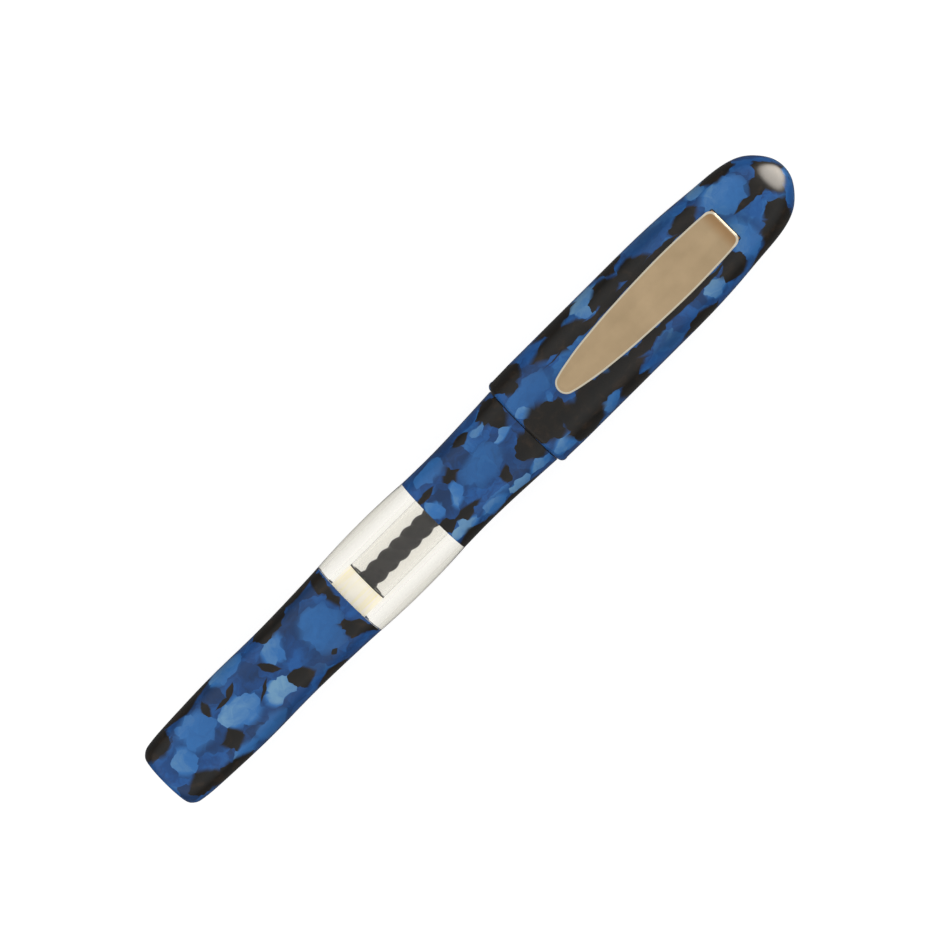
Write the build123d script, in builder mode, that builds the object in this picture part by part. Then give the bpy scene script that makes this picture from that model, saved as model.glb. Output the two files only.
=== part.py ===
from build123d import *
import os
from math import cos, radians, sin

# Fountain pen with a screw cap, a clear ink window and a screw converter.
# Millimetres. The pen lies along X with its tail at -X and its cap at +X,
# the clip on top (+Z). Stations along the pen are counted from the flat tail
# and heights over the pen's axis.

os.makedirs("parts", exist_ok=True)

# ---------------------------------------------------------------- whole pen
overall_length = 138.0
cap_radius = 8.5
axis_height = cap_radius
pen_axis = Axis((0, 0, axis_height), (1, 0, 0))

# ------------------------------------------------------------------- barrel
tail_flat_radius = 4.5
tail_corner_end = 1.7
tail_corner_radius = 6.03
swell_station = 17.0
swell_radius = 6.78
waist_station = 25.8
waist_radius = 6.64
window_start = 41.1
window_end = 59.8
window_edge_radius = 7.09
window_middle_radius = 7.42
front_waist_station = 65.6
front_waist_radius = 7.0
shoulder_station = 80.0
shoulder_radius = 7.56
barrel_front_end = 87.0
barrel_bore_radius = 4.55
bore_end = 8.0
spigot_length = 4.0
spigot_radius = 5.75

# -------------------------------------------------- thread between cap and barrel
cap_thread_core = 6.35
cap_thread_crest = 6.78
cap_thread_start = 81.6
cap_thread_length = 4.0
cap_thread_lead = 3.6
cap_thread_starts = 3
cap_thread_width = 0.8
cap_thread_bore = 6.86
cap_thread_groove = 7.25

# ---------------------------------------------- thread between section and barrel
tenon_start = 79.2
section_thread_core = 4.5
section_thread_crest = 4.84
section_thread_start = 80.4
section_thread_length = 4.0
section_thread_pitch = 1.0
section_thread_width = 0.7
section_thread_bore = 4.92
section_thread_groove = 5.25
section_bore_start = 78.3

# ---------------------------------------------------------------------- cap
lip_station = 80.15
lip_inner_radius = 7.1
lip_flat_radius = 7.66
lip_round_end = 81.4
lip_round_radius = 8.42
lip_blend_end = 84.9
cap_straight_end = 109.0
liner_start = 99.6
liner_radius = 6.5
liner_bore_radius = 5.55
liner_floor = 123.2
liner_end = 124.0
crown_shoulder = 125.1

# --------------------------------------------------------------------- clip
clip_tip = 88.1
clip_top = 125.4
clip_thickness = 0.9
clip_underside = 9.35
clip_tip_half_width = 1.75
clip_rim = 0.24
clip_end_radius = 0.75
clip_pivot_height = 6.5
leg_thickness = 1.0
leg_set_back = 0.35
leg_width = 6.2
slot_clearance = 0.2
bump_station = 91.6
bump_radius = 0.9
bump_gap = 0.25
tang_flat_height = 5.9
tang_hole_radius = 3.0

# ------------------------------------------------------------------ section
flange_radius = 6.25
flange_end = 88.15
grip_end = 101.6
grip_waist_station = 95.2
grip_waist_radius = 5.05
tenon_bore_radius = 3.9
housing_radius = 3.4
o_ring_station = 86.25
o_ring_radius = 4.66
o_ring_section = 0.45
seal_bore_start = 85.5
seal_bore_radius = 5.2

# ------------------------------------------------------------- nib and feed
nib_thickness = 0.32
nib_root = 93.0
nib_front = 118.4
nib_slit_width = 0.12
breather_station = 107.6
breather_radius = 0.62
tipping_radius = 0.42
feed_root = 89.6
feed_radius = 2.44
fin_count = 12
fin_pitch = 0.85
fin_gap = 0.35
fin_core_radius = 1.35
ink_channel_width = 0.5
ink_channel_depth = 0.7

# ---------------------------------------------------------------- converter
converter_radius = 3.72
collar_bore_radius = 3.42
collar_start = 33.2
collar_lip = 1.0
collar_lip_radius = 2.9
collar_end = 45.1
gasket_thickness = 0.25
tube_spigot_start = 41.0
tube_bore_radius = 3.1
tube_chamber_end = 78.2
mouth_start = 79.4
mouth_end = 86.6
mouth_radius = 3.0
mouth_bore_radius = 1.4
nipple_radius = 1.3
nipple_start = 80.6
guide_start = 42.8
knob_end = 17.0
knob_radius = 3.3
knob_neck_radius = 2.78
knob_front = 42.6
knob_flutes = 24
flute_radius = 0.22
keyway_end = 18.1
rod_lead = 4.9
rod_crest_radius = 1.8
rod_valley_radius = 1.45
rod_slot_clearance = 0.06
rod_start = 42.5
rod_front = 71.2
rod_pin_radius = 0.9
key_length = 2.0
key_half_width = 2.3
key_thickness = 1.4
piston_end = 77.6
running_clearance = 0.05


def station(s):
    """X position of a station counted from the flat tail."""
    return s - overall_length / 2


def profile_plane():
    """Sketch plane through the pen's axis: station along, height up."""
    return Plane((station(0), 0, axis_height), x_dir=(1, 0, 0), z_dir=(0, -1, 0))


def across(s):
    """Sketch plane square to the pen's axis at a station: Y across, height up."""
    return Plane((station(s), 0, axis_height), x_dir=(0, 1, 0), z_dir=(1, 0, 0))


def plan(height):
    """Sketch plane seen from above, at a height over the pen's axis."""
    return Plane((station(0), 0, axis_height + height), x_dir=(1, 0, 0), z_dir=(0, 0, 1))


def turned(*corners):
    """Solid of revolution about the pen's axis from (station, radius) corners."""
    with BuildPart() as piece:
        with BuildSketch(profile_plane()):
            with BuildLine():
                Polyline(*corners, close=True)
            make_face()
        revolve(axis=pen_axis)
    return piece.part


def tube(start, end, inner, outer):
    """Plain round tube along the pen's axis."""
    return turned((start, inner), (start, outer), (end, outer), (end, inner))


def thread_turns(start, length, lead, starts, root, crest, width):
    """Helical ridges about the pen's axis, from a root radius out to a crest radius."""
    sunk = 0.12 if crest > root else -0.12
    with BuildPart() as ridge:
        with BuildLine() as path:
            Helix(lead, length, root)
        with BuildSketch(Plane((root, 0, 0), x_dir=(1, 0, 0), z_dir=(0, 1, 0))):
            with BuildLine():
                Polyline(
                    (-sunk, -width / 2),
                    (crest - root, -width / 6),
                    (crest - root, width / 6),
                    (-sunk, width / 2),
                    close=True,
                )
            make_face()
        sweep(path=path.line, is_frenet=True)
    turns = [ridge.part.rotate(Axis.Z, 360 * index / starts) for index in range(starts)]
    return [turn.moved(across(start).location) for turn in turns]


def twisted_rod(start, end, clearance):
    """Round-sided flat bar twisted about the pen's axis, in phase along the pen."""
    angle = 360 * (start - rod_start) / rod_lead
    width = 2 * (rod_crest_radius + clearance)
    thickness = 2 * (rod_valley_radius + clearance)
    with BuildSketch(across(start)) as bar:
        SlotOverall(width, thickness, rotation=angle)
    return Solid.extrude_linear_with_rotation(
        bar.sketch.faces()[0],
        (station(start), 0, axis_height),
        (end - start, 0, 0),
        360 * (end - start) / rod_lead,
    )


# =================================================================== barrel
with BuildPart() as barrel_rear:
    with BuildSketch(profile_plane()):
        with BuildLine():
            Polyline((bore_end, 0), (0, 0), (0, tail_flat_radius))
            Spline(
                (0, tail_flat_radius),
                (0.42, 5.38),
                (tail_corner_end, tail_corner_radius),
                tangents=[(0, 1), (1, 0.18)],
            )
            Spline(
                (tail_corner_end, tail_corner_radius),
                (7.0, 6.48),
                (swell_station, swell_radius),
                (waist_station, waist_radius),
                (34.3, 6.8),
                (window_start, window_edge_radius),
                tangents=[(1, 0.18), (1, 0.055)],
            )
            Polyline(
                (window_start, window_edge_radius),
                (window_start, spigot_radius),
                (window_start - spigot_length, spigot_radius),
                (window_start - spigot_length, barrel_bore_radius),
                (bore_end + 1.2, barrel_bore_radius),
                (bore_end, 0),
            )
        make_face()
    revolve(axis=pen_axis)

with BuildPart() as ink_window:
    with BuildSketch(profile_plane()):
        with BuildLine():
            ThreePointArc(
                (window_start, window_edge_radius),
                ((window_start + window_end) / 2, window_middle_radius),
                (window_end, window_edge_radius),
            )
            Polyline(
                (window_end, window_edge_radius),
                (window_end, spigot_radius),
                (window_end + spigot_length, spigot_radius),
                (window_end + spigot_length, barrel_bore_radius),
                (window_start - spigot_length, barrel_bore_radius),
                (window_start - spigot_length, spigot_radius),
                (window_start, spigot_radius),
                (window_start, window_edge_radius),
            )
        make_face()
    revolve(axis=pen_axis)

with BuildPart() as barrel_front:
    with BuildSketch(profile_plane()):
        with BuildLine():
            Spline(
                (window_end, window_edge_radius),
                (front_waist_station, front_waist_radius),
                (74.3, 7.27),
                (shoulder_station, shoulder_radius),
                tangents=[(1, -0.02), (1, 0.06)],
            )
            Polyline(
                (shoulder_station, shoulder_radius),
                (shoulder_station, cap_thread_core),
                (barrel_front_end - 0.4, cap_thread_core),
                (barrel_front_end, cap_thread_core - 0.35),
                (barrel_front_end, seal_bore_radius),
                (seal_bore_start, seal_bore_radius),
                (seal_bore_start, section_thread_bore),
                (section_bore_start, section_thread_bore),
                (section_bore_start, barrel_bore_radius),
                (window_end + spigot_length, barrel_bore_radius),
                (window_end + spigot_length, spigot_radius),
                (window_end, spigot_radius),
                (window_end, window_edge_radius),
            )
        make_face()
    revolve(axis=pen_axis)
    add(
        thread_turns(
            cap_thread_start,
            cap_thread_length,
            cap_thread_lead,
            cap_thread_starts,
            cap_thread_core,
            cap_thread_crest,
            cap_thread_width,
        )
    )
    add(
        thread_turns(
            section_thread_start,
            section_thread_length,
            section_thread_pitch,
            1,
            section_thread_bore,
            section_thread_groove,
            section_thread_width,
        ),
        mode=Mode.SUBTRACT,
    )

# ====================================================================== cap
with BuildPart() as cap_body:
    with BuildSketch(profile_plane()):
        with BuildLine():
            TangentArc(
                (lip_station, lip_flat_radius),
                (lip_round_end, lip_round_radius),
                tangent=(0.1, 1),
            )
            Polyline(
                (lip_round_end, lip_round_radius),
                (lip_blend_end, cap_radius),
                (cap_straight_end, cap_radius),
            )
            Spline(
                (cap_straight_end, cap_radius),
                (119.7, 8.15),
                (126.0, 7.6),
                (131.3, 6.97),
                (134.4, 5.78),
                (136.6, 3.72),
                (overall_length, 0),
                tangents=[(1, 0), (0, -1)],
            )
            Polyline(
                (overall_length, 0),
                (crown_shoulder, 0),
                (crown_shoulder, liner_radius),
                (liner_start, liner_radius),
                (liner_start, cap_thread_bore),
                (lip_station + 1, cap_thread_bore),
                (lip_station + 0.6, lip_inner_radius),
                (lip_station, lip_inner_radius),
                (lip_station, lip_flat_radius),
            )
        make_face()
    revolve(axis=pen_axis)
    add(
        thread_turns(
            cap_thread_start,
            cap_thread_length,
            cap_thread_lead,
            cap_thread_starts,
            cap_thread_bore,
            cap_thread_groove,
            cap_thread_width,
        ),
        mode=Mode.SUBTRACT,
    )
    # slot in the crown for the leg of the clip
    with BuildSketch(plan(tang_flat_height - 0.1)):
        with Locations((clip_top - leg_set_back - leg_thickness / 2, 0)):
            RectangleRounded(
                leg_thickness + 2 * slot_clearance, leg_width + 2 * slot_clearance, 0.3
            )
    extrude(amount=4, mode=Mode.SUBTRACT)

with BuildPart() as inner_cap:
    add(
        turned(
            (liner_start + 0.05, liner_radius - 0.02),
            (liner_end, liner_radius - 0.02),
            (liner_end, 0),
            (liner_floor, 0),
            (liner_floor, liner_bore_radius),
            (liner_start + 0.5, liner_bore_radius),
            (liner_start + 0.05, liner_bore_radius + 0.4),
        )
    )

# ===================================================================== clip
clip_upper_face = clip_underside + clip_thickness
leg_front = clip_top - leg_set_back
leg_back = leg_front - leg_thickness


def clip_outline(inset):
    """Outline of the clip from above: round tip, swelling sides, rounded top corners."""
    end = clip_top - inset
    with BuildLine() as outline:
        tip_arc = CenterArc(
            (clip_tip + clip_tip_half_width, 0), clip_tip_half_width - inset, 100, 80
        )
        side = Spline(
            tip_arc @ 0,
            (clip_tip + 4.3, 2.36 - inset),
            (clip_tip + 7.7, 2.88 - inset),
            (clip_tip + 14.8, 3.49 - inset),
            (clip_tip + 25.2, 3.86 - inset),
            (clip_tip + 32.6, 3.7 - inset),
            (end - 1.35, 3.52 - inset),
            tangents=[(1, 0.18), (1, -0.08)],
        )
        corner = TangentArc(side @ 1, (end - 0.12, 2.25 - inset), tangent=side % 1)
        Spline(corner @ 1, (end, 0), tangents=[corner % 1, (0, -1)])
        mirror(about=Plane.XZ)
    return outline.edges()


with BuildPart() as clip_blade:
    with BuildSketch(plan(clip_underside)):
        make_face(clip_outline(0))
    extrude(amount=clip_thickness - clip_rim)
    # bevelled rim round the upper face
    with BuildSketch(plan(clip_upper_face - clip_rim)):
        make_face(clip_outline(0))
    with BuildSketch(plan(clip_upper_face)):
        make_face(clip_outline(clip_rim))
    loft(ruled=True)
    # upper face rolled over at the top end
    with BuildSketch(profile_plane()):
        with BuildLine():
            TangentArc(
                (clip_top - clip_end_radius, clip_upper_face),
                (clip_top, clip_upper_face - clip_end_radius),
                tangent=(1, 0),
            )
            Polyline(
                (clip_top, clip_upper_face - clip_end_radius),
                (clip_top + 1, clip_upper_face - clip_end_radius),
                (clip_top + 1, clip_upper_face + 1),
                (clip_top - clip_end_radius, clip_upper_face + 1),
                (clip_top - clip_end_radius, clip_upper_face),
            )
        make_face()
    extrude(amount=cap_radius, both=True, mode=Mode.SUBTRACT)
    # leg that goes down into the crown, with a round foot on the flexing line
    with BuildSketch(profile_plane()):
        with BuildLine():
            Polyline(
                (leg_back, clip_pivot_height),
                (leg_back, clip_underside - 0.6),
                (leg_back - 0.6, clip_underside),
                (leg_back - 0.6, clip_underside + 0.1),
                (leg_front, clip_underside + 0.1),
                (leg_front, clip_pivot_height),
            )
            TangentArc(
                (leg_front, clip_pivot_height),
                (leg_back, clip_pivot_height),
                tangent=(0, -1),
            )
        make_face()
    extrude(amount=leg_width / 2, both=True)
    # bump under the tip that grips the pocket cloth
    with BuildSketch(plan(cap_radius + bump_gap)):
        with Locations((bump_station, 0)):
            Circle(bump_radius)
    extrude(amount=clip_underside - cap_radius - bump_gap + 0.1)

with BuildPart() as clip_tang_ring:
    add(tube(liner_end + 0.03, leg_front, tang_hole_radius, liner_radius - 0.1))
    with BuildSketch(plan(tang_flat_height)):
        with Locations((liner_end, 0)):
            Rectangle(6, 10)
    extrude(amount=3, mode=Mode.SUBTRACT)

# ================================================================== section
with BuildPart() as section_grip:
    with BuildSketch(profile_plane()):
        with BuildLine():
            Polyline(
                (flange_end, flange_radius),
                (barrel_front_end + 0.05, flange_radius),
                (barrel_front_end + 0.05, section_thread_bore),
                (o_ring_station + 0.5, section_thread_bore),
                (o_ring_station + 0.5, o_ring_radius - o_ring_section),
                (o_ring_station - 0.5, o_ring_radius - o_ring_section),
                (o_ring_station - 0.5, section_thread_core),
                (tenon_start, section_thread_core),
                (tenon_start, tenon_bore_radius),
                (barrel_front_end + 0.3, tenon_bore_radius),
                (barrel_front_end + 0.3, 2.1),
                (flange_end, 2.1),
                (flange_end, housing_radius + 0.02),
                (grip_end, housing_radius + 0.02),
                (grip_end, 4.35),
            )
            TangentArc((grip_end, 4.35), (grip_end - 0.9, 5.24), tangent=(0, 1))
            Spline(
                (grip_end - 0.9, 5.24),
                (grip_waist_station, grip_waist_radius),
                (flange_end, 5.8),
                tangents=[(-1, 0), (-1, 0.16)],
            )
            Line((flange_end, 5.8), (flange_end, flange_radius))
        make_face()
    revolve(axis=pen_axis)
    add(
        thread_turns(
            section_thread_start,
            section_thread_length,
            section_thread_pitch,
            1,
            section_thread_core,
            section_thread_crest,
            section_thread_width,
        )
    )

with BuildPart() as section_o_ring:
    with BuildSketch(profile_plane()):
        with Locations((o_ring_station, o_ring_radius)):
            Circle(o_ring_section)
    revolve(axis=pen_axis)

with BuildPart() as nib_housing:
    add(
        turned(
            (nipple_start, 0.6),
            (nipple_start, nipple_radius - 0.25),
            (nipple_start + 0.8, nipple_radius),
            (barrel_front_end, nipple_radius),
            (barrel_front_end + 0.3, 2.05),
            (flange_end + 0.05, 2.05),
            (flange_end + 0.05, housing_radius),
            (grip_end - 0.3, housing_radius),
            (grip_end - 0.3, 2.9),
            (nib_root - 0.1, 2.9),
            (nib_root - 0.1, feed_radius + 0.03),
            (feed_root - 0.05, feed_radius + 0.03),
            (feed_root - 0.05, 0.6),
        )
    )

# ============================================================= nib and feed
nib_sections = [
    # station, top height, radius of curvature, half angle
    (grip_end - 0.3, 2.83, 2.83, 96),
    (105.2, 2.88, 3.9, 63),
    (110.6, 2.55, 4.2, 34),
    (nib_front, 1.65, 4.2, 5.5),
]


def nib_band(top, radius, half_angle):
    """Outline of the curved strip that the nib is made of."""
    inner = radius - nib_thickness
    centre = top - radius
    spread = radians(half_angle)
    with BuildLine() as outline:
        outer_arc = ThreePointArc(
            (-radius * sin(spread), centre + radius * cos(spread)),
            (0, top),
            (radius * sin(spread), centre + radius * cos(spread)),
        )
        inner_arc = ThreePointArc(
            (inner * sin(spread), centre + inner * cos(spread)),
            (0, top - nib_thickness),
            (-inner * sin(spread), centre + inner * cos(spread)),
        )
        Line(outer_arc @ 1, inner_arc @ 0)
        Line(inner_arc @ 1, outer_arc @ 0)
    return outline.edges()


with BuildPart() as nib:
    for position, top_height, curve_radius, half_angle in nib_sections:
        with BuildSketch(across(position)):
            make_face(nib_band(top_height, curve_radius, half_angle))
    loft()
    with BuildSketch(across(nib_root)):
        make_face(nib_band(*nib_sections[0][1:]))
    extrude(amount=nib_sections[0][0] - nib_root)
    with BuildSketch(plan(0)):
        with Locations((breather_station, 0)):
            Circle(breather_radius)
        with Locations(((breather_station + nib_front) / 2 + 1, 0)):
            Rectangle(nib_front - breather_station + 2, nib_slit_width)
    extrude(amount=4, mode=Mode.SUBTRACT)

tip_top = nib_sections[-1][1]
with BuildPart() as nib_tipping:
    with Locations((station(nib_front + 0.12), 0, axis_height + tip_top - 0.2)):
        Sphere(tipping_radius)
    with BuildSketch(across(nib_front)):
        Rectangle(4, 8)
    extrude(amount=-2, mode=Mode.SUBTRACT)

feed_sections = [
    # station, radius, height of the middle
    (grip_end, feed_radius, 0),
    (106.0, 2.25, 0.2),
    (110.6, 1.72, 0.4),
    (115.6, 0.6, 0.96),
]
with BuildPart() as feed:
    for position, body_radius, middle in feed_sections:
        with BuildSketch(across(position)):
            with Locations((0, middle)):
                Circle(body_radius)
    loft()
    with BuildSketch(across(feed_root)):
        Circle(feed_radius)
    extrude(amount=grip_end - feed_root)
    for index in range(fin_count):
        with BuildSketch(across(grip_end + 0.7 + index * fin_pitch)):
            with Locations((0, -1.6)):
                Rectangle(7, 4)
            with Locations((0, 0.25)):
                Circle(fin_core_radius, mode=Mode.SUBTRACT)
        extrude(amount=fin_gap, mode=Mode.SUBTRACT)
    with BuildSketch(across(feed_root - 1)):
        with Locations((0, feed_radius)):
            Rectangle(ink_channel_width, 2 * ink_channel_depth)
    extrude(amount=30, mode=Mode.SUBTRACT)

# ================================================================ converter
with BuildPart() as converter_tube:
    add(
        turned(
            (tube_spigot_start, tube_bore_radius),
            (tube_spigot_start, collar_bore_radius - 0.02),
            (collar_end + gasket_thickness + 0.02, collar_bore_radius - 0.02),
            (collar_end + gasket_thickness + 0.02, converter_radius),
            (mouth_start, converter_radius),
            (mouth_start + 0.8, mouth_radius),
            (mouth_end - 0.3, mouth_radius),
            (mouth_end, mouth_radius - 0.3),
            (mouth_end, mouth_bore_radius),
            (tube_chamber_end + 1.2, mouth_bore_radius),
            (tube_chamber_end, tube_bore_radius),
        )
    )

with BuildPart() as converter_collar:
    add(
        turned(
            (collar_start, collar_lip_radius),
            (collar_start, converter_radius - 0.25),
            (collar_start + 0.25, converter_radius),
            (collar_end, converter_radius),
            (collar_end, collar_bore_radius),
            (collar_start + collar_lip, collar_bore_radius),
            (collar_start + collar_lip, collar_lip_radius),
        )
    )

with BuildPart() as collar_gasket:
    add(
        tube(
            collar_end + 0.01,
            collar_end + gasket_thickness,
            collar_bore_radius,
            converter_radius - 0.02,
        )
    )

with BuildPart() as converter_guide:
    add(
        turned(
            (guide_start, 0),
            (guide_start, tube_bore_radius - 0.02),
            (collar_end, tube_bore_radius - 0.02),
            (collar_end, 0),
        )
    )
    add(twisted_rod(guide_start - 0.5, collar_end + 0.5, rod_slot_clearance), mode=Mode.SUBTRACT)

with BuildPart() as converter_knob:
    add(
        turned(
            (knob_end, 0),
            (knob_end, knob_radius - 0.5),
            (knob_end + 0.5, knob_radius),
            (collar_start - 0.2, knob_radius),
            (collar_start - 0.2, knob_neck_radius),
            (collar_start + collar_lip + 0.1, knob_neck_radius),
            (collar_start + collar_lip + 0.1, knob_radius),
            (tube_spigot_start - 0.1, knob_radius),
            (tube_spigot_start - 0.1, knob_neck_radius + 0.17),
            (knob_front, knob_neck_radius + 0.17),
            (knob_front, 0),
        )
    )
    with BuildSketch(across(knob_end + 1.4)):
        with PolarLocations(knob_radius + 0.06, knob_flutes):
            Circle(flute_radius)
    extrude(amount=collar_start - knob_end - 2.6, mode=Mode.SUBTRACT)
    # hollow the rod runs in, with the straight keyway that turns it
    with BuildSketch(across(keyway_end)):
        Circle(rod_crest_radius + 0.1)
        Rectangle(2 * (key_half_width + 0.08), key_thickness + 0.1)
    extrude(amount=knob_front - keyway_end, mode=Mode.SUBTRACT)

with BuildPart() as piston_rod:
    add(twisted_rod(rod_start, rod_front, 0))
    with BuildSketch(across(rod_start - key_length)):
        Rectangle(2 * key_half_width, key_thickness)
    extrude(amount=key_length)
    with BuildSketch(across(rod_front)):
        Circle(rod_pin_radius)
    extrude(amount=2.4)

piston_start = rod_front + running_clearance
with BuildPart() as piston_core:
    add(
        turned(
            (piston_start, rod_pin_radius + running_clearance),
            (piston_start, 2.9),
            (piston_start + 0.9, 2.9),
            (piston_start + 0.9, 2.2),
            (piston_end - 0.9, 2.2),
            (piston_end - 0.9, 2.9),
            (piston_end, 2.9),
            (piston_end, 0),
            (rod_front + 2.5, 0),
            (rod_front + 2.5, rod_pin_radius + running_clearance),
        )
    )

with BuildPart() as piston_seal:
    add(
        turned(
            (piston_start + 0.95, 2.22),
            (piston_start + 0.95, tube_bore_radius - running_clearance),
            (piston_start + 1.7, tube_bore_radius - running_clearance),
            (piston_start + 2.2, 2.7),
            (piston_end - 2.2, 2.7),
            (piston_end - 1.7, tube_bore_radius - running_clearance),
            (piston_end - 0.95, tube_bore_radius - running_clearance),
            (piston_end - 0.95, 2.22),
        )
    )

# =================================================================== export
pieces = {
    "barrel_rear": barrel_rear,
    "ink_window": ink_window,
    "barrel_front": barrel_front,
    "cap_body": cap_body,
    "inner_cap": inner_cap,
    "clip_blade": clip_blade,
    "clip_tang_ring": clip_tang_ring,
    "section_grip": section_grip,
    "section_o_ring": section_o_ring,
    "nib_housing": nib_housing,
    "nib": nib,
    "nib_tipping": nib_tipping,
    "feed": feed,
    "converter_tube": converter_tube,
    "converter_collar": converter_collar,
    "collar_gasket": collar_gasket,
    "converter_guide": converter_guide,
    "converter_knob": converter_knob,
    "piston_rod": piston_rod,
    "piston_core": piston_core,
    "piston_seal": piston_seal,
}
for piece_name, piece in pieces.items():
    piece.part.label = piece_name
    export_step(piece.part, f"parts/{piece_name}.step")
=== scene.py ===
import math

import bmesh
import bpy
import numpy as np
from mathutils import Matrix, Vector


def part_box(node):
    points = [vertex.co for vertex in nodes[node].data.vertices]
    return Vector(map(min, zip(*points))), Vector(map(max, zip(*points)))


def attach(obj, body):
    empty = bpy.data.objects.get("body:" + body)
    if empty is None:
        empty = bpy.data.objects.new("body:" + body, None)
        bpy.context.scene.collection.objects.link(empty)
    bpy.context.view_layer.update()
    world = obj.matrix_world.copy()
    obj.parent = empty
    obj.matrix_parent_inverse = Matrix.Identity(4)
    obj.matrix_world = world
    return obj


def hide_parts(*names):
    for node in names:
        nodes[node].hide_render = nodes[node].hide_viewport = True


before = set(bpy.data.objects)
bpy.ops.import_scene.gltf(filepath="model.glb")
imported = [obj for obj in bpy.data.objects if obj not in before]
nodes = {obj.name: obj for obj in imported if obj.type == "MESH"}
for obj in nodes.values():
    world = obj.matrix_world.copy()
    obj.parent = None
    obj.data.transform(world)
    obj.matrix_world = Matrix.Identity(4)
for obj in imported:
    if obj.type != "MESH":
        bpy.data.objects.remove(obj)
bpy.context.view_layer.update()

MM = 0.001

# Millimetres. A station is counted along the pen from its tail.
half_pen = 69.0
pen_height = 8.5
patch_depth = 6.0

# Metres that the finest marks stand out.
scratch_height = 0.00001
grain_height = 0.00002

# ---------------------------------------------------------------- node helpers


class Nodes:
    """A node tree with short calls for what is used below."""

    def __init__(self, owner):
        owner.use_nodes = True
        self.tree = owner.node_tree
        self.tree.nodes.clear()

    def put(self, socket, value):
        if isinstance(value, bpy.types.NodeSocket):
            self.tree.links.new(value, socket)
        else:
            socket.default_value = value

    def node(self, kind, inputs=(), **settings):
        made = self.tree.nodes.new(kind)
        for key, value in settings.items():
            setattr(made, key, value)
        for key, value in dict(inputs).items():
            self.put(made.inputs[key], value)
        return made

    def math(self, operation, a, b=0.0, c=0.0, clamp=False):
        made = self.node("ShaderNodeMath", {0: a, 1: b, 2: c}, operation=operation)
        made.use_clamp = clamp
        return made.outputs[0]

    def vector(self, operation, a, b=(0, 0, 0), scale=None):
        made = self.node("ShaderNodeVectorMath", {0: a, 1: b}, operation=operation)
        if scale is not None:
            self.put(made.inputs["Scale"], scale)
        return made.outputs["Value" if operation in ("DOT_PRODUCT", "LENGTH") else "Vector"]

    def parts(self, vector):
        return self.node("ShaderNodeSeparateXYZ", {"Vector": vector}).outputs

    def position(self):
        """Place on the piece in millimetres."""
        coords = self.node("ShaderNodeTexCoord").outputs["Object"]
        return self.vector("SCALE", coords, scale=1 / MM)

    def noise(self, place, scale, detail=3.0, rough=0.5, distort=0.0):
        return self.node(
            "ShaderNodeTexNoise",
            {
                "Vector": place, "Scale": scale, "Detail": detail,
                "Roughness": rough, "Distortion": distort,
            },
        )

    def ramp(self, value, stops, interpolation="LINEAR"):
        made = self.node("ShaderNodeValToRGB", {"Fac": value})
        ramp = made.color_ramp
        ramp.interpolation = interpolation
        while len(ramp.elements) < len(stops):
            ramp.elements.new(0.5)
        for element, (place, colour) in zip(ramp.elements, stops):
            element.position = place
            element.color = (*colour, 1) if len(colour) == 3 else colour
        return made.outputs["Color"]

    def mix(self, share, a, b, blend="MIX"):
        made = self.node("ShaderNodeMix", data_type="RGBA", blend_type=blend)
        self.put(made.inputs["Factor"], share)
        self.put(made.inputs["A"], (*a, 1) if isinstance(a, tuple) and len(a) == 3 else a)
        self.put(made.inputs["B"], (*b, 1) if isinstance(b, tuple) and len(b) == 3 else b)
        return made.outputs["Result"]

    def map(self, value, low, high, to_low, to_high, interpolation="LINEAR"):
        made = self.node(
            "ShaderNodeMapRange",
            {
                "Value": value, "From Min": low, "From Max": high,
                "To Min": to_low, "To Max": to_high,
            },
            interpolation_type=interpolation,
        )
        return made.outputs["Result"]

    def smooth(self, value, low, high, to_low=0, to_high=1):
        return self.map(value, low, high, to_low, to_high, "SMOOTHSTEP")

    def bump(self, height, distance, strength=1.0):
        return self.node(
            "ShaderNodeBump", {"Height": height, "Distance": distance, "Strength": strength}
        ).outputs["Normal"]


class Graph(Nodes):
    """A new material with a principled shader."""

    def __init__(self, name):
        self.material = bpy.data.materials.new(name)
        super().__init__(self.material)
        self.output = self.node("ShaderNodeOutputMaterial")
        self.shader = self.node("ShaderNodeBsdfPrincipled")
        self.put(self.output.inputs["Surface"], self.shader.outputs[0])

    def set(self, **sockets):
        for key, value in sockets.items():
            self.put(self.shader.inputs[key.replace("_", " ")], value)


# ---------------------------------------------------------------- materials


def chips(g, place, size, salt):
    """One layer of broken chips: random colour, a painted sheen lighter toward a random side of
    each chip, and edge distance.
    """
    scaled = g.vector("ADD", g.vector("SCALE", place, scale=1 / size), salt)
    cells = g.node("ShaderNodeTexVoronoi", {"Vector": scaled, "Scale": 1.0})
    edges = g.node(
        "ShaderNodeTexVoronoi", {"Vector": scaled, "Scale": 1.0}, feature="DISTANCE_TO_EDGE"
    )
    chance = g.node("ShaderNodeSeparateColor", {"Color": cells.outputs["Color"]})
    # painted sheen: each chip is lighter toward a side picked by chance
    sheen_lean = g.vector("SUBTRACT", cells.outputs["Color"], (0.5, 0.5, 0.5))
    inside = g.vector("SUBTRACT", scaled, cells.outputs["Position"])
    facet_sheen = g.vector("DOT_PRODUCT", inside, sheen_lean)
    return chance.outputs["Red"], chance.outputs["Green"], facet_sheen, edges.outputs["Distance"]


def turn_from_top(across, radius):
    """Angle round the pen, counted from its top, of a place seen across the pen from above."""
    rate_past_edge = 1.5
    share = across / radius
    if abs(share) <= 1:
        return math.asin(share)
    return math.copysign(math.pi / 2 + rate_past_edge * (abs(share) - 1), share)


def along_outline(outline, station):
    """Radius at a station of an outline given as (station, radius) points."""
    for (start, first), (end, second) in zip(outline, outline[1:]):
        if station <= end:
            return first + (second - first) * max(0.0, station - start) / (end - start)
    return outline[-1][1]


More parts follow.
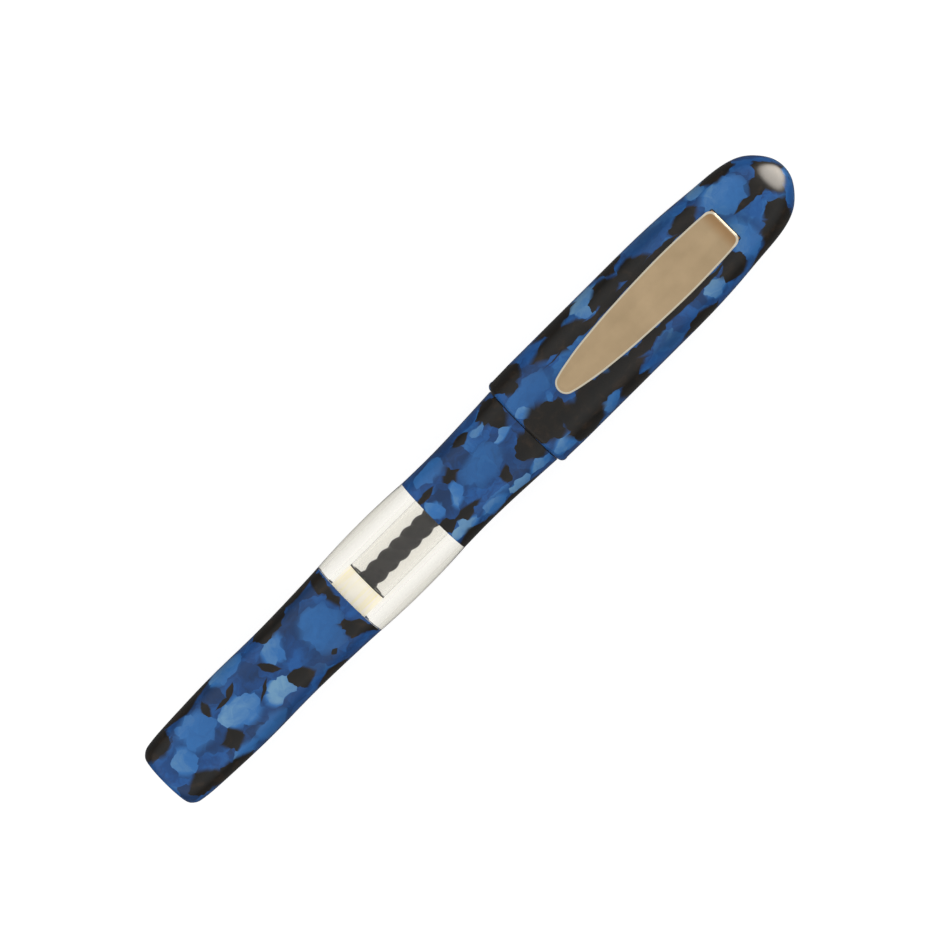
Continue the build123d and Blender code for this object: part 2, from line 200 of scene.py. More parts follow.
def patch_place(g, place, patch, pen_outline):
    """Coordinates on a patch of the surface: length 1 on the patch's outline."""
    station, across, half_length, half_width, turn = patch[:5]
    radius = along_outline(pen_outline, station)
    low = turn_from_top(across - half_width, radius)
    high = turn_from_top(across + half_width, radius)
    azimuth, widest_turn = (low + high) / 2, 1.4
    stretch = radius * math.sin(min(widest_turn, (high - low) / 2)) / half_width
    skew = math.sin(math.radians(turn)) ** 2
    lie = Matrix.Rotation(-azimuth, 3, "X") @ Matrix.Rotation(math.radians(turn), 3, "Z")
    local = g.node("ShaderNodeMapping", {"Vector": place}, vector_type="TEXTURE")
    local.inputs["Location"].default_value = (
        station - half_pen, radius * math.sin(azimuth), pen_height + radius * math.cos(azimuth)
    )
    local.inputs["Rotation"].default_value = lie.to_euler("XYZ")
    local.inputs["Scale"].default_value = (
        half_length * (1 - skew + stretch * skew),
        half_width * (skew + stretch * (1 - skew)),
        patch_depth,
    )
    return local.outputs[0]


def dark_field(g, broad, thin, patches, pen_outline, outer=1.10, inner=0.86):
    """1 inside the given dark patches, 0 outside, soft between; slivers keep to the thin warp."""
    narrow = 0.85
    nearest = None
    for patch in patches:
        place = broad if min(patch[2:4]) > narrow else thin
        local = patch_place(g, place, patch, pen_outline)
        corners = g.vector("DOT_PRODUCT", g.vector("ABSOLUTE", local), (0.5, 0.5, 0.2))
        distance = g.math("MULTIPLY_ADD", g.vector("LENGTH", local), 0.42, corners)
        nearest = distance if nearest is None else g.math("MINIMUM", nearest, distance)
    return g.smooth(nearest, outer, inner)


def pale_field(g, broad, patches, pen_outline):
    """Paleness of the light patches, each with a painted sheen lighter to one side, and the painted
    shade round them.
    """
    palest = nearest = None
    for patch in patches:
        local = patch_place(g, broad, patch, pen_outline)
        distance = g.vector("LENGTH", local)
        nearest = distance if nearest is None else g.math("MINIMUM", nearest, distance)
        inside = g.smooth(distance, 1.14, 0.80, 0, patch[5])
        # painted sheen: each pale patch is lighter toward one side
        sheen_lean = g.math("ADD", g.vector("DOT_PRODUCT", local, (-0.16, 0.16, 0.0)), 0.86)
        share = g.math("MULTIPLY", inside, sheen_lean)
        palest = share if palest is None else g.math("MAXIMUM", palest, share)
    return palest, g.smooth(nearest, 1.0, 1.55, 0.55, 1)


def strays(g, pick, edge, comparison, limit, strength):
    """Whole chips picked by chance, with their edges softened."""
    return g.math(
        "MULTIPLY", g.math(comparison, pick, limit), g.smooth(edge, 0.0, 0.05, 0, strength)
    )


def marbled_resin(
    name, salt, dark_patches, deep_patches, pale_patches, pen_outline, dark_share, lift=0.0
):
    """Cast resin: pearly blue pieces, some pale, bedded in brown-black."""
    g = Graph(name)
    here = g.position()
    place = g.vector("ADD", here, salt)
    slow = g.noise(place, 0.34, 2.0).outputs["Color"]
    fine = g.noise(place, 1.3, 2.0).outputs["Color"]
    sway = g.vector("SCALE", g.vector("SUBTRACT", slow, (0.5, 0.5, 0.5)), scale=2.2)
    ripple = g.vector("SCALE", g.vector("SUBTRACT", fine, (0.5, 0.5, 0.5)), scale=0.32)
    warped = g.vector("ADD", g.vector("ADD", place, sway), ripple)
    thin = g.vector("ADD", here, g.vector("SCALE", g.vector("ADD", sway, ripple), scale=0.6))
    # broad patches take straight broken outlines from a layer of shards
    shards = g.node(
        "ShaderNodeTexVoronoi",
        {"Vector": warped, "Scale": 0.48, "Smoothness": 0.12},
        feature="SMOOTH_F1",
    )
    offset = g.vector("SUBTRACT", shards.outputs["Position"], warped)
    broad = g.vector("ADD", thin, g.vector("SCALE", offset, scale=0.45))
    # stray chips lie only on the lower half, which the placed patches leave bare
    back = g.smooth(g.parts(here)["Z"], pen_height + 0.5, pen_height - 2.0)

    # blue ground: large pearly pieces, each with a painted sheen gradient across it
    _, tone, facet_sheen, _ = chips(g, warped, 5.2, (0.0, 0.0, 0.0))
    wisps = g.noise(warped, 0.42, 4.0, 0.6, 0.8).outputs["Fac"]
    level = g.math("ADD", g.math("MULTIPLY", tone, 0.36), g.math("MULTIPLY", facet_sheen, 0.7))
    level = g.math("ADD", level, g.map(wisps, 0.3, 0.7, lift - 0.04, lift + 0.36))
    blue = g.ramp(
        level,
        [
            (0.0, (0.008, 0.036, 0.115)),
            (0.25, (0.009, 0.058, 0.205)),
            (0.5, (0.013, 0.092, 0.305)),
            (0.78, (0.026, 0.140, 0.385)),
            (1.0, (0.060, 0.215, 0.470)),
        ],
        "EASE",
    )

    # lighter pieces, from clear blue to pale
    light, shade = pale_field(g, broad, pale_patches, pen_outline)
    # painted shade darkens the blue round the pale pieces
    blue = g.mix(shade, (0.006, 0.034, 0.110), blue)
    deep = dark_field(g, broad, thin, deep_patches, pen_outline, 1.5, 0.5)
    blue = g.mix(g.math("MULTIPLY", deep, 0.55), blue, (0.006, 0.028, 0.090))
    pick, _, _, edge = chips(g, warped, 4.6, (7.3, 2.1, 4.4))
    stray = strays(g, pick, edge, "GREATER_THAN", 0.8, 0.8)
    light = g.math("MAXIMUM", light, g.math("MULTIPLY", stray, back))
    light = g.math("MULTIPLY", light, g.map(wisps, 0.3, 0.7, 0.78, 1.12))
    clear_share = g.map(light, 0.0, 0.5, 0, 1)
    pale_share = g.map(light, 0.5, 1.0, 0, 1)
    colour = g.mix(clear_share, blue, (0.028, 0.145, 0.400))
    colour = g.mix(pale_share, colour, (0.150, 0.310, 0.480))

    # brown-black bed
    dark = dark_field(g, broad, thin, dark_patches, pen_outline)
    pick, _, _, edge = chips(g, warped, 5.4, (3.7, 9.2, 1.6))
    stray = strays(g, pick, edge, "LESS_THAN", dark_share, 1)
    dark = g.math("MAXIMUM", dark, g.math("MULTIPLY", stray, back))
    brown = g.ramp(
        g.noise(warped, 0.5, 3.0).outputs["Fac"],
        [
            (0.32, (0.006, 0.0055, 0.0045)),
            (0.55, (0.010, 0.0075, 0.005)),
            (0.75, (0.026, 0.016, 0.009)),
        ],
    )
    colour = g.mix(dark, colour, brown)

    bare = g.math("SUBTRACT", 1.0, dark, clamp=True)
    pearl = g.math("MULTIPLY", bare, g.map(level, 0.2, 0.9, 0.02, 0.25))
    g.set(
        Base_Color=colour,
        Metallic=pearl,
        Roughness=g.map(wisps, 0.3, 0.7, 0.38, 0.52),
        IOR=1.4,
        Coat_Weight=1.0,
        Coat_Roughness=0.09,
        Coat_IOR=1.4,
        Specular_IOR_Level=0.12,
    )
    return g.material


def satin_gold(name):
    """Plated clip: satin upper face, polished rim painted a paler gold as a highlight, faint
    brushing along the pen; the end of the face, the cut end and the leg are painted a darker gold
    as shade.
    """
    g = Graph(name)
    place = g.position()
    stretched = g.vector("MULTIPLY", place, (0.12, 9.0, 9.0))
    brushed = g.noise(stretched, 1.0, 4.0, 0.6).outputs["Fac"]
    cloud = g.noise(place, 0.22, 3.0).outputs["Fac"]
    satin = g.mix(g.map(cloud, 0.3, 0.7, 0, 1), (0.66, 0.485, 0.285), (0.78, 0.575, 0.345))
    # painted shade: the face is painted a darker gold by the end where the blade turns down
    end_shade_share = g.smooth(g.parts(place)["X"], 53.2, 55.4)
    satin = g.mix(end_shade_share, satin, (0.57, 0.345, 0.165))
    normal = g.parts(g.node("ShaderNodeTexCoord").outputs["Normal"])
    face = g.smooth(normal["Z"], 0.90, 0.985)
    # the cut end and the leg are left satin, rougher than the rim, and painted a darker gold as
    # shade that holds down their reflection
    cut = g.smooth(g.math("ABSOLUTE", normal["X"]), 0.72, 0.92)
    # painted highlight: the rim is a paler gold than the face, beside its real polish
    rim_highlight_gold, shaded_cut_gold, rim_roughness = (1.0, 0.90, 0.70), (0.50, 0.36, 0.20), 0.14
    colour = g.mix(cut, g.mix(face, rim_highlight_gold, satin), shaded_cut_gold)
    rough = g.map(brushed, 0.3, 0.7, 0.28, 0.40)
    duller = g.math("MULTIPLY", face, g.math("SUBTRACT", rough, rim_roughness))
    polish = g.math("ADD", rim_roughness, duller)
    g.set(
        Base_Color=colour,
        Metallic=1.0,
        Roughness=g.math("MULTIPLY_ADD", cut, 0.42, polish),
        Normal=g.bump(brushed, scratch_height, 0.2),
    )
    return g.material


def polished_metal(name, colour, tint, roughness, marks):
    """Bright metal with turning marks round the pen and a faint cloud of tint."""
    g = Graph(name)
    place = g.position()
    turned = g.noise(g.vector("MULTIPLY", place, (12.0, 0.6, 0.6)), 1.0, 3.0).outputs["Fac"]
    cloud = g.noise(place, 0.8, 2.0).outputs["Fac"]
    g.set(
        Base_Color=g.mix(cloud, colour, tint),
        Metallic=1.0,
        Roughness=g.map(turned, 0.3, 0.7, roughness * 0.75, roughness * 1.3),
        Normal=g.bump(turned, scratch_height, marks),
    )
    return g.material


def moulded(name, colour, tint, roughness, grain, **extra):
    """Moulded plastic or rubber: fine grain and a slow drift of colour and gloss."""
    g = Graph(name)
    place = g.position()
    grains = g.noise(place, 5.0, 3.0).outputs["Fac"]
    cloud = g.noise(place, 0.5, 3.0).outputs["Fac"]
    g.set(
        Base_Color=g.mix(g.map(cloud, 0.3, 0.7, 0, 1), colour, tint),
        Roughness=g.map(cloud, 0.3, 0.7, roughness * 0.85, roughness * 1.15),
        Normal=g.bump(grains, grain_height, grain),
        **extra,
    )
    return g.material


def pale_gilt(name):
    """Collar: pale gold wash over a white sleeve, faintly streaked along the pen, with a painted
    glow in the wash's colour.
    """
    g = Graph(name)
    place = g.position()
    stretched = g.vector("MULTIPLY", place, (0.10, 1.6, 1.6))
    streaks = g.noise(stretched, 1.0, 3.0, 0.6).outputs["Fac"]
    wash = g.mix(g.map(streaks, 0.35, 0.65, 0, 1), (0.96, 0.86, 0.62), (1.0, 0.97, 0.88))
    g.set(
        Base_Color=wash,
        Metallic=0.15,
        Roughness=g.map(streaks, 0.3, 0.7, 0.26, 0.38),
        # painted glow: the collar gives off light of its own, though it is no lamp
        Emission_Color=wash,
        Emission_Strength=0.36,
    )
    return g.material


def clear_plastic(name, roughness, depth_tint, density):
    """Clear plastic that yellows a little with depth."""
    g = Graph(name)
    tint = (0.985, 0.98, 0.965)
    lighter = tuple(min(1.0, channel * 1.01) for channel in tint)
    flow = g.noise(g.position(), 0.4, 2.0).outputs["Fac"]
    g.set(
        Base_Color=g.mix(flow, tint, lighter),
        Roughness=g.map(flow, 0.3, 0.7, roughness * 0.7, roughness * 1.3),
        IOR=1.42,
        Transmission_Weight=1.0,
    )
    depth = g.node("ShaderNodeVolumeAbsorption", {"Color": (*depth_tint, 1), "Density": density})
    g.put(g.output.inputs["Volume"], depth.outputs["Volume"])
    return g.material


# Marbling that shows with the clip on top. Each patch is its station, its place across, half
# length and half width in millimetres, its turn in degrees, and in the pale lists its paleness.
rear_dark = [
    (3.2, 4.6, 3.6, 1.8, 0), (10.5, 6.2, 6.0, 0.8, 0), (13.1, 3.6, 0.9, 1.5, 0),
    (15.8, 2.6, 2.0, 0.4, 5), (17.6, 3.0, 1.3, 0.5, 25), (29.2, 5.4, 4.2, 1.3, 0),
    (35.5, 6.6, 6.5, 0.8, 0), (24.8, 1.3, 2.0, 0.7, -52), (21.8, -0.8, 1.9, 0.25, 38),
    (12.8, -2.6, 1.9, 1.7, -20), (4.7, -4.1, 2.8, 1.8, -10), (9.0, -5.7, 4.4, 1.3, -6),
    (27.3, -3.4, 2.0, 1.6, -15), (31.0, -6.2, 3.4, 0.6, 0), (39.7, 3.4, 1.2, 3.7, 0),
    (39.4, -4.3, 3.1, 1.1, -57), (34.0, -4.1, 0.7, 0.45, 0),
]
rear_deep = [
    (31.8, 3.6, 4.0, 1.8, -8), (14.9, 4.4, 2.0, 1.5, 0), (10.6, -1.7, 2.8, 0.9, -25),
    (31.0, -3.4, 3.2, 2.0, 0), (22.0, 3.0, 2.6, 1.2, -10), (21.5, -5.6, 3.4, 0.9, 0),
]
rear_pale = [
    (5.0, 0.2, 2.2, 2.2, 20, 0.72), (9.6, 2.3, 3.2, 3.1, 0, 0.56),
    (16.8, -0.5, 4.0, 2.5, -10, 0.82), (23.8, -2.5, 2.8, 1.9, 0, 1.08),
    (27.3, 2.6, 2.0, 2.8, -30, 0.74), (19.0, 5.5, 3.4, 1.2, -5, 0.72),
    (12.6, -5.3, 2.9, 1.2, 0, 0.60), (18.2, -5.2, 3.4, 1.4, 0, 0.42),
    (35.0, -0.2, 3.6, 4.0, 0, 0.40),
]
front_dark = [
    (61.2, 2.9, 2.2, 0.7, 8), (66.7, 2.5, 1.7, 1.7, 0), (71.6, 5.3, 1.7, 0.8, 0),
    (60.6, -2.7, 1.8, 1.0, 0), (64.0, -3.3, 3.1, 0.95, 0), (62.3, -6.4, 3.8, 0.9, 0),
    (72.9, -3.5, 1.0, 1.3, -30), (71.0, -6.9, 5.4, 0.5, 0), (78.0, 4.5, 2.7, 2.8, 0),
    (79.0, -2.9, 2.8, 2.7, 0),
]
front_deep = [
    (66.5, 5.9, 5.0, 1.2, 0), (75.4, -3.6, 2.0, 2.2, 0), (64.0, 1.4, 1.4, 1.2, 0),
]
front_pale = [
    (62.6, -4.9, 2.7, 0.9, -5, 0.95), (65.3, -0.5, 2.1, 1.2, 40, 0.70),
    (68.0, -5.6, 2.3, 0.9, -15, 0.70), (73.2, -6.1, 2.4, 0.7, 0, 0.95),
    (77.7, -6.1, 2.0, 0.8, 0, 0.80), (61.2, 0.6, 1.9, 1.2, 0, 0.62),
    (77.3, 1.4, 1.8, 0.6, 15, 0.80), (64.5, 5.2, 3.0, 1.2, 0, 0.50),
    (74.6, 4.2, 1.2, 1.0, -45, 0.72), (71.5, 0.2, 4.4, 2.4, 0, 0.30),
]
cap_dark = [
    (83.0, 6.8, 3.4, 2.2, 0), (83.2, -2.1, 4.6, 3.6, 0), (87.6, -5.2, 3.6, 3.3, 0),
    (91.4, -4.3, 5.6, 2.5, 0), (97.2, -5.0, 4.2, 2.6, 0), (103.0, -4.3, 4.2, 1.0, 0),
    (97.4, -7.3, 3.2, 1.2, 0), (112.5, -4.2, 8.5, 0.7, 0), (111.9, -7.7, 3.6, 1.1, 0),
    (120.9, -5.3, 2.8, 2.0, -8), (127.0, -7.4, 4.2, 0.8, 0), (130.4, -5.6, 3.6, 2.1, 12),
    (93.6, 5.4, 5.2, 1.8, -6), (98.0, 4.2, 4.0, 0.8, -8), (95.0, 7.7, 4.2, 1.2, 0),
    (103.9, 5.5, 3.6, 2.2, 12), (109.6, 5.3, 3.4, 1.9, -12), (107.0, 8.0, 3.0, 0.9, 0),
    (104.0, 4.1, 14.0, 0.45, 0), (114.6, 4.2, 5.0, 0.6, 0), (120.7, 5.0, 3.2, 1.7, 8),
    (129.4, 6.5, 3.2, 1.1, -8), (129.8, 0.1, 2.7, 0.6, 0), (135.3, 0.4, 3.2, 3.2, 0),
    (132.9, 0.7, 1.6, 1.2, 0), (132.2, -4.0, 2.9, 2.0, 15),
]
cap_deep = [
    (114.6, 6.6, 4.6, 1.5, 0), (87.6, 5.0, 1.9, 1.6, -45), (106.0, -6.4, 4.2, 1.3, 0),
    (131.2, 1.9, 2.0, 1.2, 0), (114.0, -5.4, 1.6, 1.2, 0),
]
cap_pale = [
    (100.8, 7.2, 3.2, 1.2, -6, 0.95), (99.8, 5.6, 1.8, 0.7, -60, 0.85),
    (116.7, -5.8, 2.2, 1.4, -25, 0.90), (125.4, 6.8, 1.9, 1.0, -10, 0.85),
    (128.2, 3.2, 4.0, 2.8, 0, 0.64), (125.6, -3.5, 2.5, 3.3, 0, 0.64),
    (83.2, -6.6, 2.8, 1.3, 0, 0.76), (92.4, -7.0, 2.2, 1.2, 0, 0.62),
    (84.3, 3.1, 4.4, 1.9, 0, 0.36), (81.4, 1.5, 1.5, 0.6, -20, 0.85),
    (132.4, -3.1, 1.3, 0.9, 30, 0.62), (127.2, 4.6, 1.5, 1.1, 0, 0.75),
]

# Outer radius against station, in millimetres.
barrel_outline = [
    (2.0, 5.9), (7.0, 6.48), (14.0, 6.78), (26.0, 6.64), (60.0, 7.0), (70.0, 7.05), (80.0, 7.6),
]
cap_outline = [
    (109.0, 8.5), (119.7, 8.15), (126.0, 7.6), (131.3, 6.97), (134.4, 5.78), (138.0, 1.0),
]
grip_outline = [(80.0, 5.2), (100.0, 5.2)]
grip_dark = [(94.0, 1.0, 3.0, 2.0, 20)]
grip_deep = [(96.5, 3.0, 2.0, 1.5, 0)]
grip_pale = [(98.5, -2.0, 2.0, 1.5, 0, 0.8)]

resins = {
    "barrel_rear": marbled_resin(
        "resin_rear", (3.0, 1.0, 5.0), rear_dark, rear_deep, rear_pale, barrel_outline, 0.3
    ),
    "barrel_front": marbled_resin(
        "resin_front", (13.0, 7.0, 2.0), front_dark, front_deep, front_pale, barrel_outline, 0.3
    ),
    "cap_body": marbled_resin(
        "resin_cap", (41.0, 23.0, 9.0), cap_dark, cap_deep, cap_pale, cap_outline, 0.38, 0.2
    ),
    "section_grip": marbled_resin(
        "resin_grip", (9.0, 30.0, 4.0), grip_dark, grip_deep, grip_pale, grip_outline, 0.35
    ),
}
gold_clip = satin_gold("clip_gold")
black = moulded("black_plastic", (0.012, 0.012, 0.013), (0.022, 0.021, 0.021), 0.22, 0.15, IOR=1.5)
finishes = {
    **resins,
    "ink_window": clear_plastic("window_acrylic", 0.01, (0.90, 0.88, 0.80), 85.0),
    "converter_tube": clear_plastic("tube_plastic", 0.02, (0.90, 0.88, 0.81), 140.0),
    "clip_blade": gold_clip,
    "clip_tang_ring": gold_clip,
    "converter_collar": pale_gilt("collar_gilt"),
    "inner_cap": black,
    "nib_housing": black,
    "feed": black,
    "converter_knob": black,
    "converter_guide": black,
    "collar_gasket": moulded(
        "gasket_rubber", (0.03, 0.03, 0.03), (0.045, 0.043, 0.042), 0.6, 0.4
    ),
    "piston_rod": moulded(
        "rod_plastic", (0.028, 0.022, 0.024), (0.036, 0.029, 0.031), 0.55, 0.1,
        Specular_IOR_Level=0.25,
    ),
    "piston_core": moulded("piston_plastic", (0.42, 0.41, 0.40), (0.48, 0.47, 0.45), 0.45, 0.3),
    "piston_seal": moulded("seal_rubber", (0.02, 0.02, 0.02), (0.035, 0.034, 0.033), 0.6, 0.6),
    "section_o_ring": moulded("o_ring_rubber", (0.02, 0.02, 0.02), (0.035, 0.034, 0.033), 0.6, 0.6),
    "nib": polished_metal("nib_steel", (0.80, 0.79, 0.77), (0.86, 0.85, 0.83), 0.14, 0.2),
    "nib_tipping": polished_metal(
        "tipping_alloy", (0.70, 0.70, 0.70), (0.76, 0.76, 0.75), 0.2, 0.2
    ),
}
for node_name, material in finishes.items():
    for slot in nodes[node_name].material_slots:
        slot.material = material

# ---------------------------------------------------------------- window


def piece_of(name, mesh, material, sharp_degrees):
    """An object in the scene, smooth but for edges sharper than the given angle."""
    mesh.polygons.foreach_set("use_smooth", [True] * len(mesh.polygons))
    mesh.set_sharp_from_angle(angle=math.radians(sharp_degrees))
    mesh.materials.append(material)
    piece = bpy.data.objects.new(name, mesh)
    bpy.context.scene.collection.objects.link(piece)
    return piece


def turned_piece(name, profile, segments, material):
    """Ring turned about the pen's axis from a closed (x, radius) profile in metres."""
    mesh = bpy.data.meshes.new(name)
    rings = []
    count = len(profile)
    for index in range(segments):
        angle = 2 * math.pi * index / segments
        for x, radius in profile:
            rings.append((x, radius * math.sin(angle), pen_height * MM + radius * math.cos(angle)))
    faces = []
    for index in range(segments):
        start = index * count
        follow = (index + 1) % segments * count
        for step in range(count):
            ahead = (step + 1) % count
            faces.append((start + step, start + ahead, follow + ahead, follow + step))
    mesh.from_pydata(rings, [], faces)
    return piece_of(name, mesh, material, sharp_degrees=25)


# The window is bonded into the barrel, so its spigots reach a hair into the resin.
bond = 0.03
window_low, window_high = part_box("ink_window")
spigot = 4.0
window_start = window_low[0] / MM + spigot
window_end = window_high[0] / MM - spigot
edge_radius, middle_radius = 7.09, 7.42
spigot_radius, bore_radius = 5.75, 4.55
outer = []
steps, segments = 40, 256
for step in range(steps + 1):
    share = step / steps
    x = window_start - bond + (window_end - window_start + 2 * bond) * share
    outer.append((x, edge_radius + (middle_radius - edge_radius) * (1 - (2 * share - 1) ** 2)))
profile = [
    (window_start - spigot - bond, bore_radius),
    (window_start - spigot - bond, spigot_radius + bond),
    (window_start - bond, spigot_radius + bond),
    *outer,
    (window_end + bond, spigot_radius + bond),
    (window_end + spigot + bond, spigot_radius + bond),
    (window_end + spigot + bond, bore_radius),
]
profile = [(x * MM, radius * MM) for x, radius in profile]
window = turned_piece("window_ring", profile, segments, finishes["ink_window"])
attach(window, "barrel")
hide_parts("ink_window")

# ---------------------------------------------------------------- clip

widest_half = 3.86


def clip_half_width(run, length):
    """Half width of the clip at a run from its tip, in millimetres."""
    tip_radius, tip_run, corner_run = 1.75, 1.446, 1.35
    end_half_width, corner_half_width = 2.25, 3.52
    if run < tip_run:
        return math.sqrt(tip_radius ** 2 - (tip_radius - run) ** 2)
    left = length - run
    if left < corner_run:
        share = 1 - left / corner_run
        return end_half_width + (corner_half_width - end_half_width) * math.sqrt(1 - share ** 2)
    knots = [
        (tip_run, 1.723), (4.3, 2.36), (7.7, 2.88), (14.8, 3.49), (25.2, widest_half), (32.6, 3.7),
        (length - corner_run, corner_half_width),
    ]
    first_slope, last_slope = 0.32, -0.06
    inner_slopes = [(y2 - y0) / (x2 - x0) for (x0, y0), (x2, y2) in zip(knots, knots[2:])]
    slopes = [first_slope, *inner_slopes, last_slope]
    for index, ((x0, y0), (x1, y1)) in enumerate(zip(knots, knots[1:])):
        if run <= x1:
            break
    span = x1 - x0
    t = (run - x0) / span
    rise0, rise1 = slopes[index] * span, slopes[index + 1] * span
    return (
        (2 * t ** 3 - 3 * t ** 2 + 1) * y0 + (t ** 3 - 2 * t ** 2 + t) * rise0
        + (3 * t ** 2 - 2 * t ** 3) * y1 + (t ** 3 - t ** 2) * rise1
    )


def distance_to_outline(points, outline):
    """Shortest distance from each point to a closed outline."""
    starts = outline
    runs = np.roll(outline, -1, axis=0) - starts
    lengths = np.maximum((runs ** 2).sum(axis=1), 1e-12)
    nearest = np.full(len(points), 1e9)
    for start, run, length in zip(starts, runs, lengths):
        share = np.clip(((points - start) @ run) / length, 0, 1)
        gap = np.hypot(*(points - start - share[:, None] * run).T)
        nearest = np.minimum(nearest, gap)
    return nearest


def clip_piece(name, material):
    """Clip blade with a bevelled rim and a slight crown, its leg and its bump."""
    low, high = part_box("clip_blade")
    tip, plate_top = low[0] / MM, high[0] / MM
    upper = high[2] / MM
    thickness, end_gap = 0.9, 0.3
    under = upper - thickness
    length = plate_top - end_gap - tip
    columns, rows = 170, 61
    runs = [length * (1 - math.cos(math.pi * i / columns)) / 2 for i in range(columns + 1)]
    runs[0] = 0.004  # keeps the tip from closing to a point
    across = [math.sin(math.pi / 2 * (2 * j / (rows - 1) - 1)) for j in range(rows)]
    widths = [clip_half_width(run, length) for run in runs]
    plan = np.array([(run, width * share) for run, width in zip(runs, widths) for share in across])
    side = list(zip(runs, widths))
    outline = np.array(side + [(run, -width) for run, width in reversed(side)])
    # bevelled rim all round, broader and flatter at the top end, with a soft shoulder inside it
    end_run, blend_run = 2.2, 1.6
    rim_width, end_broader, rim_slope, end_flatter = 0.26, 0.16, 0.78, 0.35
    end_share = np.clip((plan[:, 0] - (length - end_run)) / blend_run, 0, 1)
    end_share = end_share * end_share * (3 - 2 * end_share)
    rim = rim_width + end_broader * end_share
    slope = rim_slope - end_flatter * end_share
    shoulder_drop, shoulder_run, crown_rise = 0.05, 0.5, 0.05
    to_edge = distance_to_outline(plan, outline)
    bevel = np.clip(rim - to_edge, 0, None) * slope
    shoulder = shoulder_drop * np.clip(1 - to_edge / (rim + shoulder_run), 0, 1) ** 2
    crown = crown_rise * (1 - (plan[:, 1] / widest_half) ** 2)
    heights = upper - crown_rise + crown - bevel - shoulder

    build = bmesh.new()

    def corner_at(x, y, z):
        return build.verts.new((x * MM, y * MM, z * MM))

    above = [corner_at(tip + x, y, z) for (x, y), z in zip(plan, heights)]
    below = [corner_at(tip + x, y, under) for x, y in plan]
    for i in range(columns):
        for j in range(rows - 1):
            corner = i * rows + j
            ring = (corner, corner + rows, corner + rows + 1, corner + 1)
            build.faces.new([above[k] for k in ring])
            build.faces.new([below[k] for k in reversed(ring)])
    edge = [i * rows for i in range(columns + 1)]
    edge += [columns * rows + j for j in range(1, rows)]
    edge += [i * rows + rows - 1 for i in range(columns - 1, -1, -1)]
    edge += list(range(rows - 2, 0, -1))
    for k, follow in zip(edge, edge[1:] + edge[:1]):
        build.faces.new((above[k], below[k], below[follow], above[follow]))

    # leg with its round foot, carried down into the crown
    leg_front, leg_back, leg_half = plate_top - 0.35, plate_top - 1.35, 3.1
    pivot, foot_radius, foot_steps, haunch, bite = pen_height + 6.5, 0.5, 12, 0.6, 0.05
    foot = [
        (
            (leg_front + leg_back) / 2 + foot_radius * math.cos(angle),
            pivot - foot_radius * math.sin(angle),
        )
        for angle in [math.pi * k / foot_steps for k in range(foot_steps + 1)]
    ]
    leg_outline = foot + [
        (leg_back, under - haunch), (leg_back - haunch, under + bite), (leg_front, under + bite),
    ]
    sides = [[corner_at(x, y, z) for x, z in leg_outline] for y in (-leg_half, leg_half)]
    build.faces.new(sides[0])
    build.faces.new(reversed(sides[1]))
    for k in range(len(leg_outline)):
        follow = (k + 1) % len(leg_outline)
        build.faces.new((sides[0][k], sides[1][k], sides[1][follow], sides[0][follow]))

    # pressed bump under the tip that grips the cloth
    bump_x, bump_depth, bump_radius, smallest = tip + 3.5, 0.58, 0.9, 0.01
    bump_steps, bump_sides = 6, 24
    turns = [2 * math.pi * k / bump_sides for k in range(bump_sides)]
    rings = []
    for step in range(bump_steps + 1):
        angle = math.pi / 2 * step / bump_steps
        radius, depth = max(bump_radius * math.cos(angle), smallest), bump_depth * math.sin(angle)
        rings.append([
            corner_at(bump_x + radius * math.cos(turn), radius * math.sin(turn), under - depth)
            for turn in turns
        ])
    for ring, deeper in zip(rings, rings[1:]):
        for k in range(bump_sides):
            follow = (k + 1) % bump_sides
            build.faces.new((ring[k], ring[follow], deeper[follow], deeper[k]))
    build.faces.new(rings[-1])
    bmesh.ops.recalc_face_normals(build, faces=build.faces)
    mesh = bpy.data.meshes.new(name)
    build.to_mesh(mesh)
    build.free()
    return piece_of(name, mesh, material, sharp_degrees=40)


clip = clip_piece("spring_clip", gold_clip)
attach(clip, "clip")
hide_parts("clip_blade")

# ---------------------------------------------------------------- floor and light

half_floor, floor_gap = 3.0, 0.0002
floor_mesh = bpy.data.meshes.new("floor")
floor_corners = [(-1, -1), (1, -1), (1, 1), (-1, 1)]
floor_mesh.from_pydata(
    [(x * half_floor, y * half_floor, 0) for x, y in floor_corners], [], [(0, 1, 2, 3)]
)
floor = bpy.data.objects.new("floor", floor_mesh)
floor.location.z = -floor_gap
bpy.context.scene.collection.objects.link(floor)
g = Graph("floor_paper")
g.set(
    Base_Color=(0.24, 0.24, 0.24, 1),
    Roughness=0.9,
    Emission_Color=(1, 1, 1, 1),
    Emission_Strength=0.84,
)
floor_mesh.materials.append(g.material)
floor.visible_glossy = False
floor.visible_diffuse = False

# A pale tent all round, dark below. Seen in a mirror it is dimmer than the light it sheds, and
# one warm lamp stands off the cap's end.
tent_strength, mirrored_strength = 1.28, 0.68
lamp_way, lamp_rim, lamp_core, lamp_strength = (1.0, 0.03, 0.0), 0.79, 0.985, 10.0
lamp_colour = (1.0, 0.93, 0.84, 1)

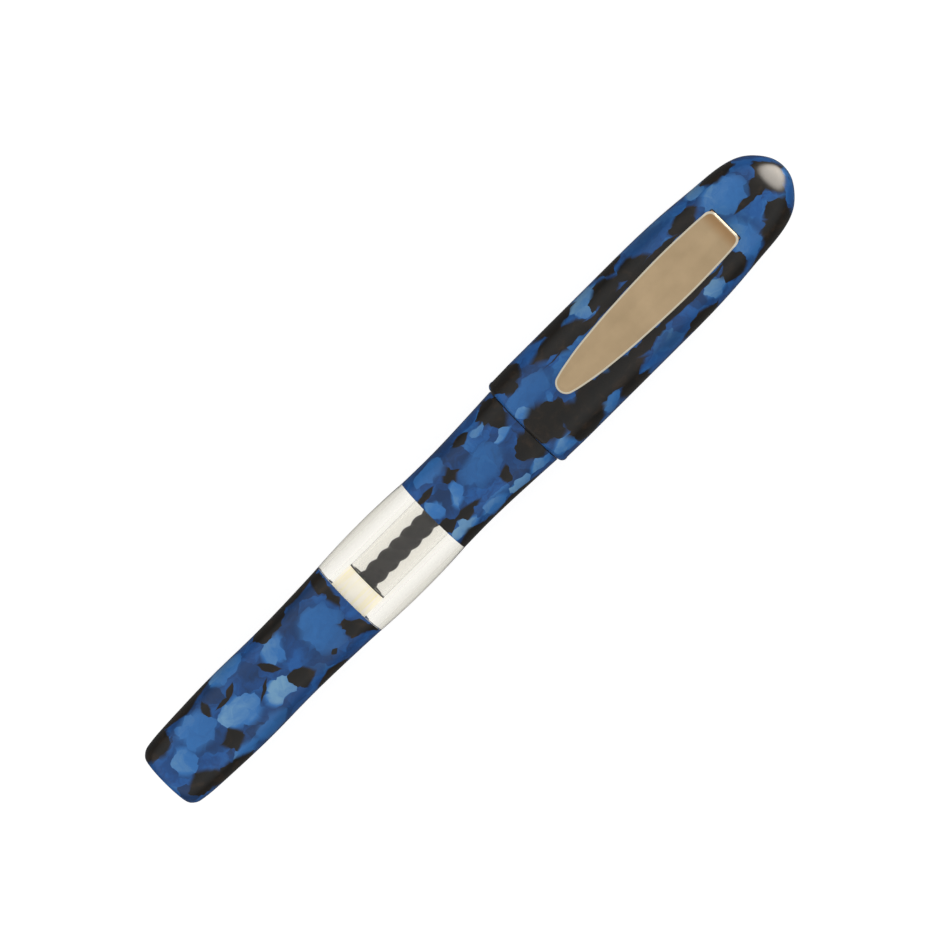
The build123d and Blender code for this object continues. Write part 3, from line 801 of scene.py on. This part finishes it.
world = bpy.data.worlds.new("studio")
bpy.context.scene.world = world
light = Nodes(world)
way = light.node("ShaderNodeTexCoord").outputs["Generated"]
tent = light.ramp(
    light.map(light.parts(way)["Z"], -1, 1, 0, 1),
    [
        (0.0, (0.10, 0.10, 0.10)),
        (0.34, (0.14, 0.14, 0.14)),
        (0.50, (0.66, 0.67, 0.68)),
        (0.62, (0.97, 0.97, 0.97)),
        (0.85, (0.78, 0.78, 0.78)),
    ],
)
bounces = light.node("ShaderNodeLightPath").outputs["Glossy Depth"]
mirrored = light.math("GREATER_THAN", bounces, 0.5)
level = light.map(mirrored, 0, 1, tent_strength, mirrored_strength)
toward_lamp = light.vector("DOT_PRODUCT", way, Vector(lamp_way).normalized())
lamp = light.map(toward_lamp, lamp_rim, lamp_core, 0, lamp_strength, "SMOOTHERSTEP")
tent_light = light.node("ShaderNodeBackground", {"Color": tent, "Strength": level})
lamp_light = light.node(
    "ShaderNodeBackground",
    {"Color": lamp_colour, "Strength": light.math("MULTIPLY", lamp, mirrored)},
)
both = light.node("ShaderNodeAddShader", {0: tent_light.outputs[0], 1: lamp_light.outputs[0]})
light.node("ShaderNodeOutputWorld", {"Surface": both.outputs[0]})

# ---------------------------------------------------------------- camera

axis_height = pen_height * MM
aim_across = -0.13 * MM
camera_ahead, camera_above = 0.052, 1.0
target = Vector((0, aim_across, axis_height))
camera_place = Vector((camera_ahead, aim_across, axis_height + camera_above))
camera_data = bpy.data.cameras.new("camera")
camera_data.sensor_width = 36.0
camera_data.lens = 239.7
camera_data.clip_start = 0.05
camera = bpy.data.objects.new("camera", camera_data)
bpy.context.scene.collection.objects.link(camera)
back = (camera_place - target).normalized()
pen_angle = math.radians(44.89)
along = Vector((1, 0, 0))
along = (along - back * along.dot(back)).normalized()
side = back.cross(along)
right = along * math.cos(pen_angle) - side * math.sin(pen_angle)
up = back.cross(right)
camera.matrix_world = Matrix((
    (right.x, up.x, back.x, camera_place.x),
    (right.y, up.y, back.y, camera_place.y),
    (right.z, up.z, back.z, camera_place.z),
    (0, 0, 0, 1),
))
bpy.context.scene.camera = camera
bpy.context.scene.view_settings.view_transform = "Standard"
